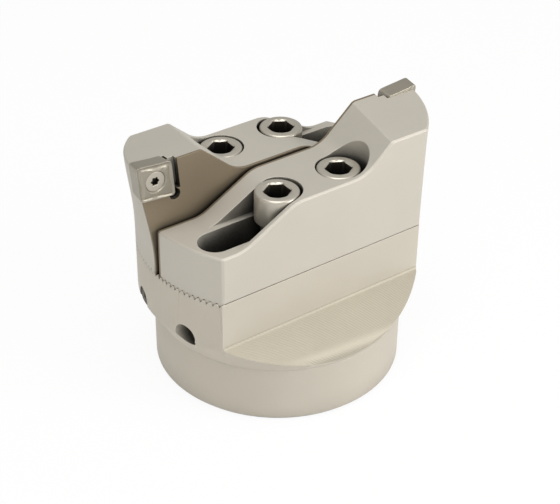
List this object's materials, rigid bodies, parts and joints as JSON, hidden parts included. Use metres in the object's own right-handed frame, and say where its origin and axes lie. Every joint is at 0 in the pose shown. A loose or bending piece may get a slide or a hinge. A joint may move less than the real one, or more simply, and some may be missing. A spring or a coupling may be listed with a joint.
{
  "type": "twin-bit boring head",
  "caption": "Modular rough boring head: round body with a serrated slide block, two stepped insert holders that screws feed outward, clamp screws and pilot socket.",
  "frame": {"origin": "centre of the body's bottom seat", "axes": "+Z along the spindle axis towards the cutting inserts, X along the travel of the insert holders, front holder at -Y"},
  "size_m": [0.0806, 0.072, 0.0671],
  "materials": {
    "body_nickel": "satin nickel plated steel",
    "holder_nickel": "satin nickel plated steel",
    "screw_steel": "bright turned steel",
    "carbide": "ground carbide",
    "inner_steel": "oiled steel"
  },
  "bodies": {
    "head": {"head_body": "body_nickel", "slide_block": "body_nickel", "drive_pin": "inner_steel", "front_lock_ring": "inner_steel", "front_thrust_plug": "inner_steel", "rear_lock_ring": "inner_steel", "rear_thrust_plug": "inner_steel"},
    "front_holder": {"front_insert_holder": "holder_nickel", "front_feed_nut": "inner_steel", "front_cutting_insert": "carbide"},
    "rear_holder": {"rear_insert_holder": "holder_nickel", "rear_feed_nut": "inner_steel", "rear_cutting_insert": "carbide"},
    "front_clamp": {"front_clamp_screw": "screw_steel"},
    "front_nut_fastener": {"front_nut_screw": "screw_steel"},
    "front_adjuster": {"front_adjusting_screw": "inner_steel"},
    "front_insert_fastener": {"front_insert_screw": "screw_steel"},
    "rear_clamp": {"rear_clamp_screw": "screw_steel"},
    "rear_nut_fastener": {"rear_nut_screw": "screw_steel"},
    "rear_adjuster": {"rear_adjusting_screw": "inner_steel"},
    "rear_insert_fastener": {"rear_insert_screw": "screw_steel"},
    "arbor_clamp": {"socket_clamp_screw": "inner_steel"}
  },
  "joints": [
    {"name": "front_holder_slide", "type": "slide", "parent": "head", "child": "front_holder", "axis": [1, 0, 0], "range_m": [0, 0.016]},
    {"name": "rear_holder_slide", "type": "slide", "parent": "head", "child": "rear_holder", "axis": [-1, 0, 0], "range_m": [0, 0.016]},
    {"name": "front_adjusting_turn", "type": "hinge", "parent": "head", "child": "front_adjuster", "pos_m": [0, -0.0095, 0.0232], "axis": [1, 0, 0], "range_deg": [-5761, 0]},
    {"name": "rear_adjusting_turn", "type": "hinge", "parent": "head", "child": "rear_adjuster", "pos_m": [0, 0.0095, 0.0232], "axis": [-1, 0, 0], "range_deg": [-5761, 0]},
    {"name": "front_clamp_turn", "type": "hinge", "parent": "head", "child": "front_clamp", "pos_m": [-0.0095, -0.0123, 0.049], "axis": [0, 0, 1], "range_deg": [0, 360]},
    {"name": "front_nut_screw_turn", "type": "hinge", "parent": "front_holder", "child": "front_nut_fastener", "pos_m": [0.0089, -0.0123, 0.049], "axis": [0, 0, 1], "range_deg": [0, 360]},
    {"name": "front_insert_screw_turn", "type": "hinge", "parent": "front_holder", "child": "front_insert_fastener", "pos_m": [0.03516, 0, 0.06196], "axis": [0, 1, 0], "range_deg": [0, 360]},
    {"name": "rear_clamp_turn", "type": "hinge", "parent": "head", "child": "rear_clamp", "pos_m": [0.0095, 0.0123, 0.049], "axis": [0, 0, 1], "range_deg": [0, 360]},
    {"name": "rear_nut_screw_turn", "type": "hinge", "parent": "rear_holder", "child": "rear_nut_fastener", "pos_m": [-0.0089, 0.0123, 0.049], "axis": [0, 0, 1], "range_deg": [0, 360]},
    {"name": "rear_insert_screw_turn", "type": "hinge", "parent": "rear_holder", "child": "rear_insert_fastener", "pos_m": [-0.03516, 0, 0.06196], "axis": [0, -1, 0], "range_deg": [0, 360]},
    {"name": "socket_clamp_turn", "type": "hinge", "parent": "head", "child": "arbor_clamp", "pos_m": [0, 0.024, 0.00775], "axis": [0, 1, 0], "range_deg": [0, 360]}
  ],
  "couplings": [
    {"joint": "front_adjusting_turn", "follows": "front_holder_slide", "rad_per_m": -6283.2},
    {"joint": "rear_adjusting_turn", "follows": "rear_holder_slide", "rad_per_m": -6283.2}
  ]
}
